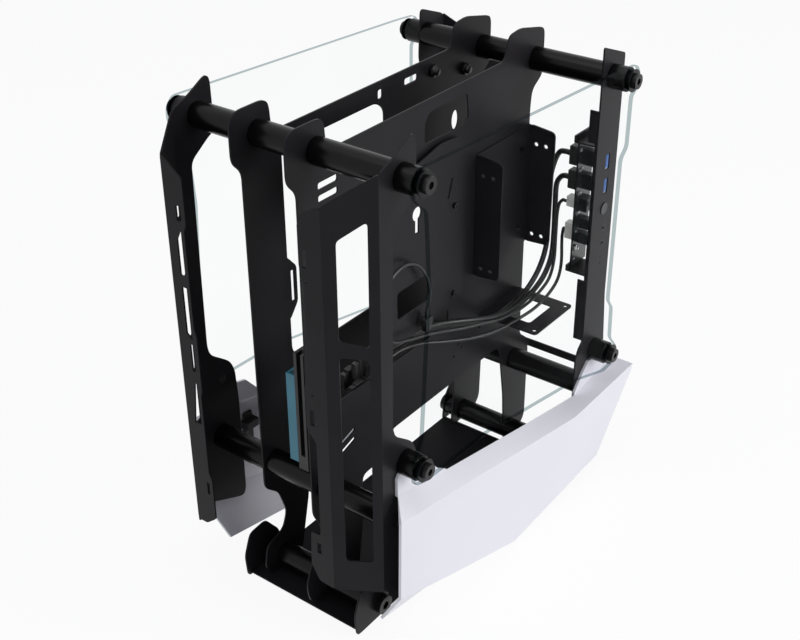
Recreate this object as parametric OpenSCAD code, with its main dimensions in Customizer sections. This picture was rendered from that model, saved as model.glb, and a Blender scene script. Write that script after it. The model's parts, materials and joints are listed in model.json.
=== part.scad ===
// Open-frame desktop computer case: folded black plates clamped on cross tubes,
// white lower covers, two glass sides, a port column and its leads.
// X runs along the tubes, Y from the near edge to the far edge, Z up from the floor.

/* [Cross tubes] */
// Length of the cross tubes, end face to end face
tube_len = 224; // [205:1:270]
// Outside diameter of the cross tubes
tube_d = 21; // [18:0.5:23]
// Diameter of the tie rods inside the tubes
rod_d = 8; // [5:0.5:10]
// Clearance between a rod and its tube, on the radius
rod_gap = 0.1; // [0.05:0.05:0.4]
// Head diameter of the socket screws at the tube ends
head_d = 13; // [11:0.5:15]
// Head height of the socket screws at the tube ends
head_h = 4; // [3.5:0.5:8]
// Diameter of the flat collar under each screw head
collar_d = 19.5; // [18:0.5:21]
// Diameter of the spacers' noses that carry the glass
nose_d = 16.5; // [15:0.5:17]

/* [Plates] */
// Thickness of the steel plates
plate_t = 1.5; // [1:0.1:2.5]
// Distance of the outer plates from the middle plane
outer_x = 95; // [90:1:100]
// Place of the left inner plate across the case
left_inner_x = -36; // [-42:1:-30]
// Place of the right inner plate across the case
right_inner_x = 19.5; // [14:0.5:20]
// Height of the plates' outer folds above the floor
plate_top = 425; // [400:1:470]
// Length of the rounding at a plate's corners
corner_r = 6; // [2:0.5:7]
// Width of the slanted panel folded off an outer plate
wing_w = 40; // [30:1:46]
// Turn of the slanted panel from the case's side
wing_turn = 26.6; // [20:0.1:32]
// Width of the rail at the free edge of the slanted panel
rail_w = 21; // [15:1:24]

/* [Base] */
// Height of the rubber feet
foot_h = 2; // [1.5:0.5:5]
// Diameter of the rubber feet
foot_d = 16; // [10:1:24]
// Left end of the base tray
tray_x0 = -51; // [-60:1:-46]
// Right end of the base tray
tray_x1 = 72; // [66:1:80]
// Height of the base tubes' axis above the tray
base_tube_z = 12; // [11.5:0.5:15]

/* [Covers and glass] */
// Thickness of the moulded side covers
cover_t = 2.5; // [2:0.1:3.5]
// Distance of a cover's main wall from the middle plane
cover_x = 113; // [110:1:118]
// Thickness of the glass
glass_t = 4; // [3:0.5:5]
// Width of the glass round the top clamp screws
glass_rim = 12; // [11:0.5:16]

/* [Ports] */
// Length of a wide port opening
port_l = 14.5; // [13:0.5:16]
// Width of a wide port opening
port_w = 7; // [6:0.5:8]
// Diameter of the power button
button_d = 11; // [9:0.5:12]
// Travel of the power button
button_travel = 1.2; // [0.6:0.1:1.6]
// Clearance round the power button, on the radius
button_gap = 0.2; // [0.1:0.05:0.4]

/* [Board seats] */
// Hole spacing of the board seats, near to far
board_y = 154.94; // [150:0.01:160]
// Hole spacing of the board seats, upright
board_z = 157.48; // [150:0.01:160]
// Height of the board seats' pillars
pillar_h = 6.5; // [5:0.5:10]
// Thread bore of the board seats
pillar_bore = 2.5; // [2:0.1:3]

/* [Leads] */
// Diameter of the two thick port leads
thick_lead_d = 5; // [4:0.5:6]
// Diameter of the thin leads
thin_lead_d = 3; // [2:0.5:3.5]

/* [Hidden] */

$fn = 32;
black = "#26272a";
half_len = tube_len / 2;
tube_r = tube_d / 2;
floor_z = foot_h + plate_t;

// Outer face of the cover lugs, which lie on the outer plates
seat_x = outer_x + plate_t + cover_t;

// Tube axes as [y, z]
top_near = [-148, plate_top - 12.5];
top_far = [146, plate_top - 28];
mid_near = [-153, 120];
mid_far = [131, 98];
stub_near = [-146, 174];
stub_far = [151, 127];
base_near = [-147, floor_z + base_tube_z];
base_far = [129, floor_z + base_tube_z];

// Height of the upper beams' top edge
beam_z = plate_top - 17;

// Corner points rounded by a curve whose two legs are r long
function unit(v) = v / norm(v);
function leg(a, b, r) = min(r, norm(a - b) * 0.45);
function bend(a, b, c, r) = [for (s = [0 : 0.25 : 1])
    let (p = b + unit(a - b) * leg(a, b, r), q = b + unit(c - b) * leg(c, b, r))
    p * (1 - s) * (1 - s) + b * 2 * s * (1 - s) + q * s * s];
function soft(pts, r = corner_r) = [for (i = [0 : len(pts) - 1])
    each bend(pts[(i + len(pts) - 1) % len(pts)], pts[i], pts[(i + 1) % len(pts)], r)];

// A sheet of thickness t whose outline is drawn in Y and Z, from x towards +X
module sheet(x, t = plate_t) {
    translate([x, 0, 0]) rotate([90, 0, 90]) linear_extrude(t) children();
}

// A round bar along X from x0 to x1 at [y, z]
module bar_x(x0, x1, at, d) {
    translate([x0, at[0], at[1]]) rotate([0, 90, 0]) cylinder(h = x1 - x0, d = d);
}

module rounded(pts, r = corner_r) { polygon(soft(pts, r)); }

module slot(at, l, w) {
    translate([at[0] - w / 2, at[1] - l / 2]) square([w, l]);
}

module hole_at(at, d = rod_d) { translate(at) circle(d = d + 2 * rod_gap); }

// Outline of an outer near plate: crest, shoulder for the top tube, waist and foot
fold_near = -173;
module near_outline() {
    difference() {
        rounded([[fold_near, plate_top - 2], [-156, plate_top + 4], [-136, plate_top + 15],
            [-132, plate_top + 11], [-131, plate_top - 31], [-138, plate_top - 34],
            [-158, plate_top - 48], [-160, 212], [-157, 203], [-136, 187], [-131, 176],
            [-129, 145], [-129, 47], [-133, 41], [-167, 56], [fold_near, 60]]);
        for (at = [top_near, mid_near, stub_near]) hole_at(at);
    }
}

wing_dx = wing_w * cos(wing_turn);
wing_dy = wing_w * sin(wing_turn);
outer_mid = outer_x + plate_t / 2;
rail_y = fold_near - wing_dy;

// A flat panel that hangs on an upright fold line at [x, y], turned by turn
module fold_panel(at, turn, z0, z1) {
    translate([at[0], at[1], 0]) rotate([0, 0, turn]) rotate([90, 0, 0])
        linear_extrude(plate_t, center = true) children();
    translate([at[0], at[1], z0]) cylinder(h = z1 - z0, d = plate_t);
}

// The slanted panel, drawn flat with its fold edge at the origin, windows cut out
module wing_outline() {
    difference() {
        rounded([[0, 60], [0, plate_top - 2], [wing_w, plate_top - 29], [wing_w, 57]], 1.5);
        rounded([[7.5, 288], [7.5, plate_top - 37], [30, plate_top - 54], [30, 291]], 4);
        rounded([[7.5, 90], [7.5, 278], [30, 278], [30, 88]], 4);
    }
}

// Rail at the free edge: three tabs with slots between shallow recesses
module rail_outline() {
    difference() {
        rounded([[0, 57], [0, plate_top - 29], [rail_w - 4, plate_top - 38],
            [rail_w, plate_top - 46], [rail_w, 345], [rail_w - 4, 330], [rail_w - 4, 252],
            [rail_w, 246], [rail_w, 206], [rail_w - 9, 196], [rail_w - 9, 106],
            [rail_w + 1, 106], [rail_w + 2, 72], [rail_w - 6, 58]], 3);
        slot([rail_w - 5, 352], 14, 4);
        slot([rail_w - 6, 218], 14, 4);
        slot([rail_w - 7, 92], 10, 4);
        translate([rail_w - 7, 239]) circle(d = 2.5);
        translate([rail_w - 6, 334]) circle(d = 2.5);
    }
}

module near_right_plate() {
    color(black) {
        sheet(outer_x) near_outline();
        fold_panel([outer_mid, fold_near], 180 + wing_turn, 60, plate_top - 3)
            wing_outline();
        fold_panel([outer_mid - wing_dx, rail_y], 180, 58, plate_top - 31) rail_outline();
    }
}

// Left near plate: a short flange and a slotted rail turned inwards
edge_y = rail_y;
edge_x = -outer_mid + 4;
flange_l = norm([edge_x + outer_mid, edge_y - fold_near]);
flange_turn = atan2(edge_y - fold_near, edge_x + outer_mid);
module flange_outline() {
    difference() {
        rounded([[0, 55], [0, plate_top - 3], [flange_l, plate_top - 29], [flange_l, 52]], 1);
        for (z = [[150, 194], [200, 228], [232, 281], [287, 334], [338, 352]])
            rounded([[2, z[0]], [2, z[1]], [14, z[1]], [14, z[0]]], 1.5);
    }
}
module slotted_rail_outline() {
    difference() {
        rounded([[0, 55], [0, plate_top - 29], [12, plate_top - 38], [20, plate_top - 44],
            [20, 345], [17.5, 338], [17.5, 252], [19.5, 246], [19.5, 196], [18, 190],
            [18, 112], [21, 106], [21, 64], [10, 55]], 2);
        rounded([[11, 345], [11, 358], [16, 358], [16, 345]], 1.5);
        rounded([[9, 298], [9, 329], [13, 337], [15, 337], [15, 298]], 1);
        rounded([[9, 246], [9, 288], [15, 288], [15, 241]], 1);
        rounded([[11.5, 211], [11.5, 237], [15.5, 237], [15.5, 211]], 1.5);
        rounded([[8, 160], [12, 200], [15.5, 200], [15.5, 160]], 1);
        slot([16, 95], 12, 3);
    }
}
module near_left_plate() {
    color(black) {
        sheet(-outer_x - plate_t) near_outline();
        fold_panel([-outer_mid, fold_near], flange_turn, 60, plate_top - 4)
            flange_outline();
        fold_panel([edge_x, edge_y], 0, 58, plate_top - 31) slotted_rail_outline();
    }
}

// Crests over the two top tubes, shared by the inner plates
function near_crest(y) = [[y + 44, beam_z], [y + 42, plate_top + 6], [y + 36, plate_top + 10],
    [y + 8, plate_top + 10], [y, plate_top + 4], [y, plate_top - 28], [y + 10, plate_top - 38]];
function far_crest(y) = [[y, beam_z], [y + 6, plate_top + 3], [y + 24, plate_top + 5],
    [y + 60, plate_top - 3], [y + 63, plate_top - 8], [y + 63, plate_top - 46],
    [y + 47, plate_top - 56]];

module inner_tube_holes() {
    for (at = [top_near, top_far, mid_near, mid_far]) hole_at(at);
}

// Near and far legs of an inner plate stand on the base tray round the base tubes
module leg_holes() {
    for (at = [base_near, base_far]) hole_at(at, tube_d);
}

module left_inner_plate() {
    color(black) sheet(left_inner_x) difference() {
        rounded(concat(near_crest(-176), [[-166, 98], [-150, 84], [-141, 58], [-147, 42],
            [-168, 36], [-172, 14], [-164, floor_z], [-124, floor_z], [-112, 58],
            [-108, 110], [104, 110], [114, 60], [110, floor_z], [148, floor_z],
            [160, 14], [163, 102], [150, 118], [146, 200], [144, 360]],
            [for (i = [6 : -1 : 0]) far_crest(97)[i]]));
        rounded([[-123, 212], [-123, plate_top - 34], [-8, plate_top - 34],
            [3, plate_top - 42], [3, 205], [-112, 205]]);
        translate([106, 340]) scale([0.8, 1.4]) circle(d = 13);
        rounded([[31, beam_z - 8], [31, beam_z - 14], [49, beam_z - 14], [49, beam_z - 8]], 2);
        rounded([[-5, beam_z - 7], [-5, beam_z - 15], [1, beam_z - 15], [1, beam_z - 7]], 2);
        translate([-26, 318]) circle(d = 7);
        rounded([[20, 240], [20, 300], [80, 300], [80, 240]]);
        inner_tube_holes();
        leg_holes();
    }
    color(black) sheet(left_inner_x) difference() {
        rounded([[-126, 302], [-126, 242], [-122, 244], [-113, 256], [-113, 288],
            [-122, 298]], 3);
        slot([-118, 272], 28, 4);
    }
}

module keyhole(at) {
    translate(at) circle(d = 12);
    slot([at[0], at[1] - 11], 13, 5);
}

opening_z0 = 190;
opening_z1 = 354;
module right_inner_plate() {
    color(black) sheet(right_inner_x) difference() {
        rounded(concat(near_crest(-180), [[-169, 98], [-160, 82], [-158, 60], [-174, 48],
            [-181, 30], [-178, 12], [-168, floor_z], [-112, floor_z], [-104, 60],
            [-104, 99], [-84, 100], [-62, 123], [100, 123], [108, 118], [118, 60],
            [122, floor_z], [150, floor_z], [160, 14], [160, 99], [155, 110], [143, 119],
            [142, 353]], [for (i = [6 : -1 : 0]) far_crest(97)[i]]));
        // Two small strap slots beside the near crest
        for (z = [plate_top - 44, plate_top - 54])
            rounded([[-147, z], [-147, z + 5.5], [-125, z + 5.5], [-125, z]], 2);
        // Cut-out behind which the left inner plate shows
        rounded([[-17, beam_z - 36], [-17, beam_z - 19], [-11, beam_z - 11],
            [42, beam_z - 11], [45, beam_z - 33], [37, beam_z - 37]], 3);
        // Opening behind the drive plate, with the leads over its lower edge
        rounded([[-133, opening_z0], [-133, opening_z1], [20, opening_z1],
            [20, opening_z0]]);
        for (z = [143, 152]) rounded([[-133, z - 3], [-113, z + 3], [-113, z - 1],
            [-133, z - 7]], 1);
        for (at = [[30, 150], [42, 154], [36, 160]]) translate(at) circle(d = 2.5);
        inner_tube_holes();
        leg_holes();
    }
}

// Far column at the right: ports in its face, a stiffening flange, a flared foot
column_y = 131;
column_w = 36;
port_y = column_y + 19;
port_z = [318, 295];
button_z = 273;
jack_z = [253, 238];
module column_outline() {
    difference() {
        rounded([[column_y - 2, plate_top + 1], [column_y + column_w - 1, plate_top - 13],
            [column_y + column_w, 180], [column_y + column_w + 6, 120], [172, 60], [164, 45],
            [124, 45], [120, 60], [120, 128], [124, 138], [column_y, 144]], 3);
        for (at = [top_far, mid_far, stub_far]) hole_at(at);
        for (z = port_z) slot([port_y, z], port_l, port_w);
        translate([port_y, button_z]) circle(d = button_d + 2 * button_gap);
        for (z = jack_z) translate([port_y + 2, z]) circle(d = 5.5);
        for (z = [224, 218]) translate([port_y + 1, z]) circle(d = 1.6);
    }
}
column_flange = 9;
module far_right_column() {
    color(black) {
        sheet(outer_x) column_outline();
        translate([outer_x - column_flange, column_y, 0]) difference() {
            translate([0, 0, 144]) cube([column_flange + 0.1, plate_t, plate_top - 56 - 144]);
            translate([-1, -1, 206]) cube([column_flange - plate_t, 4, 134]);
        }
    }
}

// Far left plate with its own slanted panel, turned inwards as at the near right
fold_far = 173;
module far_left_plate() {
    color(black) {
        sheet(-outer_x - plate_t) difference() {
            rounded([[fold_far, plate_top - 16], [137, plate_top - 3], [135, plate_top - 50],
                [150, 340], [152, 200], [146, 170], [134, 150], [126, 120], [122, 62],
                [130, 45], [162, 48], [fold_far, 60]]);
            for (at = [top_far, mid_far, stub_far]) hole_at(at);
        }
        fold_panel([-outer_mid, fold_far], wing_turn, 60, plate_top - 17) difference() {
            rounded([[0, 60], [0, plate_top - 16], [wing_w, plate_top - 42], [wing_w, 57]],
                1.5);
            rounded([[7.5, 270], [7.5, plate_top - 52], [30, plate_top - 68], [30, 273]], 4);
            rounded([[7.5, 90], [7.5, 258], [30, 258], [30, 88]], 4);
        }
        fold_panel([wing_dx - outer_mid, fold_far + wing_dy], 0, 58, plate_top - 44)
            rounded([[0, 57], [0, plate_top - 42], [rail_w, plate_top - 56], [rail_w, 72],
            [rail_w - 6, 58]], 3);
    }
}

// Tubes are spacers that butt against the plates, each with a rod through it
module spacers(at, stops) {
    for (i = [0 : 2 : len(stops) - 2]) difference() {
        bar_x(stops[i], stops[i + 1], at, tube_d);
        bar_x(stops[i] - 1, stops[i + 1] + 1, at, rod_d + 2 * rod_gap);
    }
}
inner_stops = [-outer_x, left_inner_x, left_inner_x + plate_t, right_inner_x,
    right_inner_x + plate_t, outer_x];
module top_near_tube() { color(black) spacers(top_near, inner_stops); }
module top_far_tube() { color(black) spacers(top_far, inner_stops); }
module mid_near_tube() { color(black) spacers(mid_near, inner_stops); }
module mid_far_tube() { color(black) spacers(mid_far, inner_stops); }
// Outside the plates each spacer ends in a nose, which the glass hangs on
module nosed_spacer(at) {
    difference() {
        union() {
            bar_x(outer_x + plate_t, half_len, at, tube_d);
            bar_x(half_len - 1, half_len + glass_t, at, nose_d);
        }
        bar_x(outer_x, half_len + glass_t + 1, at, rod_d + 2 * rod_gap);
    }
}
module nosed_pair(at) {
    nosed_spacer(at);
    mirror([1, 0, 0]) nosed_spacer(at);
}
module near_stub_spacers() {
    color(black) for (at = [top_near, stub_near]) nosed_pair(at);
}
module far_stub_spacers() {
    color(black) for (at = [top_far, stub_far]) nosed_pair(at);
}

// The base tubes run whole from one tray ear to the other, through the legs
module base_tube(at) {
    difference() {
        bar_x(tray_x0 + plate_t, tray_x1 - plate_t, at, tube_d);
        bar_x(tray_x0, tray_x1, at, rod_d + 2 * rod_gap);
    }
}
module base_near_tube() { color(black) base_tube(base_near); }
module base_far_tube() { color(black) base_tube(base_far); }

// Glass, collar and screw head outside each spacer
glass_x = half_len;
collar_h = 1;
low_head_h = 2.3;
collar_x = glass_x + glass_t;
module tie_rods() {
    color("#55585c") {
        for (at = [top_near, top_far]) bar_x(-collar_x, collar_x, at, rod_d);
        for (at = [mid_near, mid_far])
            bar_x(-outer_x - plate_t, outer_x + plate_t, at, rod_d);
        for (at = [stub_near, stub_far]) {
            bar_x(outer_x, collar_x, at, rod_d);
            bar_x(-collar_x, -outer_x, at, rod_d);
        }
        for (at = [base_near, base_far]) bar_x(tray_x0, tray_x1, at, rod_d);
    }
}

module end_collars() {
    color(black) for (at = [top_near, top_far, stub_near, stub_far]) {
        bar_x(collar_x, collar_x + collar_h, at, collar_d);
        bar_x(-collar_x - collar_h, -collar_x, at, collar_d);
    }
}

// A socket screw head along +X from the origin, with its hexagon socket
module socket_head(d = head_d, h = head_h, key = 6) {
    difference() {
        rotate([0, 90, 0]) cylinder(h = h, d = d);
        translate([h / 2, 0, 0]) rotate([0, 90, 0]) cylinder(h = h, d = key, $fn = 6);
    }
}
module end_screws() {
    color("#1c1d1f") for (at = [top_near, top_far, stub_near, stub_far])
        for (side = [0, 180]) rotate([0, 0, side])
            translate([collar_x + collar_h, (side == 0 ? 1 : -1) * at[0], at[1]])
            socket_head();
    color("#1c1d1f") for (side = [0, 180]) rotate([0, 0, side])
        translate([outer_x + plate_t, (side == 0 ? 1 : -1) * mid_near[0], mid_near[1]])
        socket_head(head_d, low_head_h, 5);
}
base_head_d = head_d + 4;
module base_screws() {
    color("#1c1d1f") for (at = [base_near, base_far]) {
        translate([tray_x1, at[0], at[1]]) socket_head(base_head_d, head_h + 1.5, 8);
        translate([tray_x0, at[0], at[1]]) rotate([0, 0, 180])
            socket_head(base_head_d, head_h + 1.5, 8);
    }
}

// Base tray: a floor with four upturned ears that carry the base tubes
tray_near = -174;
tray_far = 121;
module ear_outline(at, out) {
    y = at[0];
    difference() {
        rounded([[y + out * 32, foot_h], [y + out * 34, floor_z + 22], [y + out * 26, 46],
            [y + out * 6, 48], [y - out * 10, floor_z + 24], [y - out * 13, foot_h]], 5);
        hole_at(at);
    }
}
module base_tray() {
    color(black) {
        translate([tray_x0, tray_near, foot_h])
            cube([tray_x1 - tray_x0, tray_far - tray_near, plate_t]);
        for (x = [tray_x0, tray_x1 - plate_t]) {
            sheet(x) ear_outline(base_near, -1);
            sheet(x) ear_outline(base_far, 1);
        }
    }
}
module rubber_feet() {
    color("#111111") for (x = [tray_x0 + 14, tray_x1 - 14]) for (y = [-158, 106])
        translate([x, y, 0]) cylinder(h = foot_h, d = foot_d);
}

// Side cover: a bent wall, thick cover_t, on four rows of fold points. Each row runs
// from the near end to the far end, and gives the outer face as [x, y, z].
cover_rows = [
    [[seat_x, -158, 150], [seat_x, -92, 134], [seat_x, 19, 111], [seat_x, 118, 92],
        [seat_x, 188, 100]],
    [[cover_x, -172, 137], [cover_x, -92, 122], [cover_x + 1, -13, 107],
        [cover_x + 5, 87, 92], [cover_x + 8, 191, 98]],
    [[cover_x, -173, 61], [cover_x, -92, 33], [cover_x, -2, 3.5], [cover_x + 5, 137, 19],
        [cover_x + 8, 190, 93]],
    [[cover_x - 27, -163, 17], [cover_x - 28, -92, 4], [cover_x - 13, -2, 1.5],
        [cover_x, 137, 16], [cover_x + 5, 189, 91]]];
// The way from a row's outer face to its inner one, down and inwards round the folds
cover_steps = [[0, -1], [-1, -1], [-1, 0.3], [-0.85, 0.5]] * cover_t;
module cover_shell() {
    rows = len(cover_rows);
    cols = len(cover_rows[0]);
    outer = [for (r = cover_rows) each r];
    inner = [for (i = [0 : rows - 1]) for (p = cover_rows[i])
        p + [cover_steps[i][0], 0, cover_steps[i][1]]];
    n = rows * cols;
    function id(r, c) = r * cols + c;
    front = [for (r = [0 : rows - 2]) for (c = [0 : cols - 2])
        each [[id(r, c), id(r, c + 1), id(r + 1, c + 1)],
        [id(r, c), id(r + 1, c + 1), id(r + 1, c)]]];
    back = [for (f = front) [n + f[0], n + f[2], n + f[1]]];
    rim = concat([for (c = [0 : cols - 1]) id(0, c)],
        [for (r = [1 : rows - 1]) id(r, cols - 1)],
        [for (c = [cols - 2 : -1 : 0]) id(rows - 1, c)],
        [for (r = [rows - 2 : -1 : 1]) id(r, 0)]);
    k = len(rim);
    wall = [for (i = [0 : k - 1]) let (a = rim[i], b = rim[(i + 1) % k])
        each [[a, n + a, b], [b, n + a, n + b]]];
    polyhedron(concat(outer, inner), concat(front, back, wall));
}
// Two lugs behind the shell's upper edge cradle the stub spacers from below
module cover_lugs() {
    sheet(seat_x - cover_t, cover_t) difference() {
        union() {
            polygon([[-158, 150 - cover_t], [-158, 164], [-155, 168], [-117, 157],
                [-104, 142], [-92, 134], [-92, 134 - cover_t]]);
            polygon([[118, 92 - cover_t], [118, 94], [130, 108], [141, 118], [164, 115],
                [186, 100], [186, 100 - cover_t]]);
        }
        for (at = [stub_near, stub_far]) hole_at(at, tube_d);
    }
}
module side_cover() {
    color("#e4e3ea") {
        cover_shell();
        cover_lugs();
    }
}
module right_cover() { side_cover(); }
module left_cover() { mirror([1, 0, 0]) side_cover(); }

// Glass sides with ears that reach round the four clamp screws
module glass_outline() {
    difference() {
        rounded([top_far + [-20, glass_rim + 2], top_far + [6, glass_rim],
            top_far + [glass_rim, 4], top_far + [glass_rim - 1, -9], top_far + [2, -14],
            top_far + [2, -60], top_far + [-7, -68], [139, 190], [147, 180], [149, 146],
            stub_far + [11, 4], stub_far + [9, -13], stub_far + [-10, -14], [90, 130],
            [-60, 158], stub_near + [4, -glass_rim - 1], stub_near + [-glass_rim, -8],
            stub_near + [-glass_rim, 12], [-148, 204], [-140, 330], [-144, 390],
            top_near + [-glass_rim, -8], top_near + [-glass_rim, 4],
            top_near + [-5, glass_rim]], 4);
        for (at = [top_near, top_far, stub_near, stub_far]) hole_at(at, nose_d);
    }
}
module right_glass() { color([0.85, 0.9, 0.92, 0.3]) sheet(glass_x, glass_t) glass_outline(); }
module left_glass() {
    color([0.85, 0.9, 0.92, 0.3]) sheet(-glass_x - glass_t, glass_t) glass_outline();
}

// Fan bracket: an upright channel on the right inner plate
bracket_x = right_inner_x + plate_t;
fan_y = [57, 143];
fan_z = [222, 338];
module fan_bracket() {
    depth = 27;
    color(black) difference() {
        union() {
            sheet(bracket_x) rounded([[fan_y[0], fan_z[0]], [fan_y[0], fan_z[1]],
                [fan_y[1], fan_z[1]], [fan_y[1], fan_z[0]]], 2);
            for (y = fan_y) translate([bracket_x, y - (y == fan_y[1] ? plate_t : 0), 0])
                translate([0, plate_t, 0]) rotate([90, 0, 0]) linear_extrude(plate_t)
                rounded([[0, fan_z[0]], [0, fan_z[1]], [depth, fan_z[1] - 3],
                [depth, fan_z[0] + 2]], 5);
        }
        for (z = [fan_z[0] + 9, fan_z[1] - 18]) for (x = [bracket_x + 8, bracket_x + 18])
            translate([x, fan_y[0] - 5, z]) rotate([-90, 0, 0]) cylinder(h = 100, d = 4);
        for (z = [fan_z[0] + 20, fan_z[1] - 20]) for (y = [70, 128])
            translate([bracket_x - 1, y, z]) rotate([0, 90, 0]) cylinder(h = 5, d = 3.4);
    }
}

// Support frame: a flat window frame standing out from the right inner plate
frame_z = 174;
module support_frame() {
    color(black) {
        translate([0, 0, frame_z]) linear_extrude(plate_t) difference() {
            rounded([[bracket_x, 70], [bracket_x, 135], [81, 135], [81, 70]], 4);
            rounded([[32, 84], [32, 122], [66, 122], [66, 84]], 3);
            for (y = [76, 130]) translate([76, y]) circle(d = 4);
        }
        sheet(bracket_x) rounded([[70, frame_z - 14], [70, frame_z + plate_t],
            [135, frame_z + plate_t], [135, frame_z - 14]], 2);
    }
}

// Drive plate in front of the opening of the right inner plate
drive_gap = 3;
module drive_plate() {
    color(black) {
        sheet(bracket_x + drive_gap) difference() {
            rounded([[-88, 182], [-88, 338], [-62, 356], [0, 368], [26, 366], [33, 356],
                [35, 250], [30, 208], [-70, 208], [-72, 182]]);
            keyhole([-33, 319]);
            translate([13, 324]) rotate(-18) slot([0, 0], 18, 3);
            rounded([[-60, 232], [-60, 258], [-16, 258], [-16, 232]], 4);
            for (y = [-78, 20]) for (z = [222, 306]) translate([y, z]) circle(d = 3.4);
        }
        for (at = [[-80, opening_z0 - 4], [26, 214], [26, 358], [-20, opening_z1 + 5]])
            bar_x(bracket_x, bracket_x + drive_gap, at, 6);
    }
}

module rear_crossbar() {
    y = fold_far - 9;
    color(black) {
        translate([-outer_x, y, 94]) cube([2 * outer_x, plate_t, 8]);
        for (x = [-outer_x, outer_x - plate_t]) translate([x, y - 9, 94])
            cube([plate_t, 10, 8]);
    }
}

module bracket_screws() {
    color("#1c1d1f") {
        for (z = [fan_z[0] + 20, fan_z[1] - 20]) for (y = [70, 128])
            translate([bracket_x + plate_t, y, z]) socket_head(5.5, 2, 2.4);
        for (y = [80, 125]) translate([bracket_x + plate_t, y, frame_z - 8])
            socket_head(5.5, 2, 2.4);
        for (y = [-78, 20]) for (z = [222, 306])
            translate([bracket_x + drive_gap + plate_t, y, z]) socket_head(5.5, 2, 2.4);
    }
}

// Threaded seats for a small square main board, on the left inner plate's outer face
board_y0 = -140;
board_z0 = 214;
module board_pillars() {
    color("#c8a24a") for (y = [0, board_y]) for (z = [0, board_z])
        translate([left_inner_x, board_y0 + y, board_z0 + z]) rotate([0, -90, 0])
        difference() {
            cylinder(h = pillar_h, d = 6, $fn = 6);
            translate([0, 0, -1]) cylinder(h = pillar_h + 2, d = pillar_bore);
        }
}

// Port board behind the column, standing on edge, with its sockets
board_x = outer_x - 22;
board_gap = 0.5;
port_depth = 12;
module port_board() {
    color("#16181a") translate([board_x, port_y - 12, 212])
        cube([1.6, 26, 122]);
}
module port_blocks() {
    color("#8e9297") for (z = port_z) difference() {
        translate([board_x + 1.6, port_y - port_w / 2, z - port_l / 2])
            cube([outer_x - board_x - 1.6 - board_gap, port_w, port_l]);
        translate([outer_x - port_depth, port_y - port_w / 2 + 0.8, z - port_l / 2 + 0.8])
            cube([20, port_w - 1.6, port_l - 1.6]);
    }
    color("#141416") for (z = jack_z) translate([0, port_y + 2, z]) difference() {
        translate([board_x + 1.6, -4, -5])
            cube([outer_x - board_x - 1.6 - board_gap, 8, 10]);
        translate([outer_x - 14, 0, 0]) rotate([0, 90, 0]) cylinder(h = 20, d = 3.6);
    }
    color("#141416") translate([board_x + 1.6, port_y - 6, button_z - 6])
        cube([8, 12, 12]);
}
module wide_port(z) {
    translate([outer_x - port_depth, port_y - 1, z - port_l / 2 + 1.6])
        cube([port_depth - 1, 2, port_l - 3.2]);
}
module wide_port_a() { color("#2f6fae") wide_port(port_z[0]); }
module wide_port_b() { color("#2f6fae") wide_port(port_z[1]); }

// Folded bracket that holds the port board to the column's flange
module port_bracket() {
    color(black) for (z = [208, 334]) {
        translate([board_x - 3, port_y - 14, z])
            cube([outer_x - board_x + 3, 28, plate_t]);
    }
    color(black) for (z = [208, 334.5]) translate([board_x - 3, port_y - 14, z])
        cube([2, 28, 6]);
}

// Power button: a stepped plug that slides in the column towards its switch
button_seat = 2;
module power_button() {
    color("#303236") translate([0, port_y, button_z]) rotate([0, 90, 0]) {
        translate([0, 0, outer_x - button_seat - 0.3])
            cylinder(h = button_seat, d = button_d + 2);
        translate([0, 0, outer_x - 1]) cylinder(h = plate_t + 1.8, d = button_d);
        translate([0, 0, board_x + 9.6 + button_travel + 0.3])
            cylinder(h = outer_x - board_x - 11 - button_travel, d = 4);
    }
}

// Plugs on the port board's inner face, where the leads start
plug_x = board_x - 11;
module lead_headers() {
    color("#d9d8d2") {
        translate([plug_x, port_y - 6, 268]) cube([board_x - plug_x, 8, 10]);
        translate([plug_x, port_y - 6, 236]) cube([board_x - plug_x, 8, 16]);
    }
    color("#151517") for (z = port_z) translate([plug_x, port_y - 7, z - 9])
        cube([board_x - plug_x, 10, 18]);
}

// Leads: round-sectioned sweeps along points chosen by hand
function path_dir(p, i) = unit(p[min(i + 1, len(p) - 1)] - p[max(i - 1, 0)]);
function side_of(d) = unit(cross(d, abs(d[2]) > 0.9 ? [1, 0, 0] : [0, 0, 1]));
// One smooth curve through the points, four steps between neighbours
function spline(a, b, c, d, s) = 0.5 * (2 * b + (c - a) * s
    + (2 * a - 5 * b + 4 * c - d) * s * s + (3 * b - a - 3 * c + d) * s * s * s);
function smooth_path(p) = [for (i = [0 : len(p) - 2]) for (s = [0 : 0.34 : 0.99])
    spline(p[max(i - 1, 0)], p[i], p[i + 1], p[min(i + 2, len(p) - 1)], s),
    p[len(p) - 1]];
module lead(pts, d, sides = 8) {
    p = smooth_path(pts);
    n = len(p);
    rings = [for (i = [0 : n - 1]) let (t = path_dir(p, i), u = side_of(t), v = cross(t, u))
        for (k = [0 : sides - 1]) p[i] + (u * cos(360 * k / sides)
        + v * sin(360 * k / sides)) * d / 2];
    skin = [for (i = [0 : n - 2]) for (k = [0 : sides - 1])
        let (a = i * sides + k, b = i * sides + (k + 1) % sides)
        each [[a, b, b + sides], [a, b + sides, a + sides]]];
    caps = [[for (k = [sides - 1 : -1 : 0]) k],
        [for (k = [0 : sides - 1]) (n - 1) * sides + k]];
    polyhedron(rings, concat(skin, caps));
}
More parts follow.
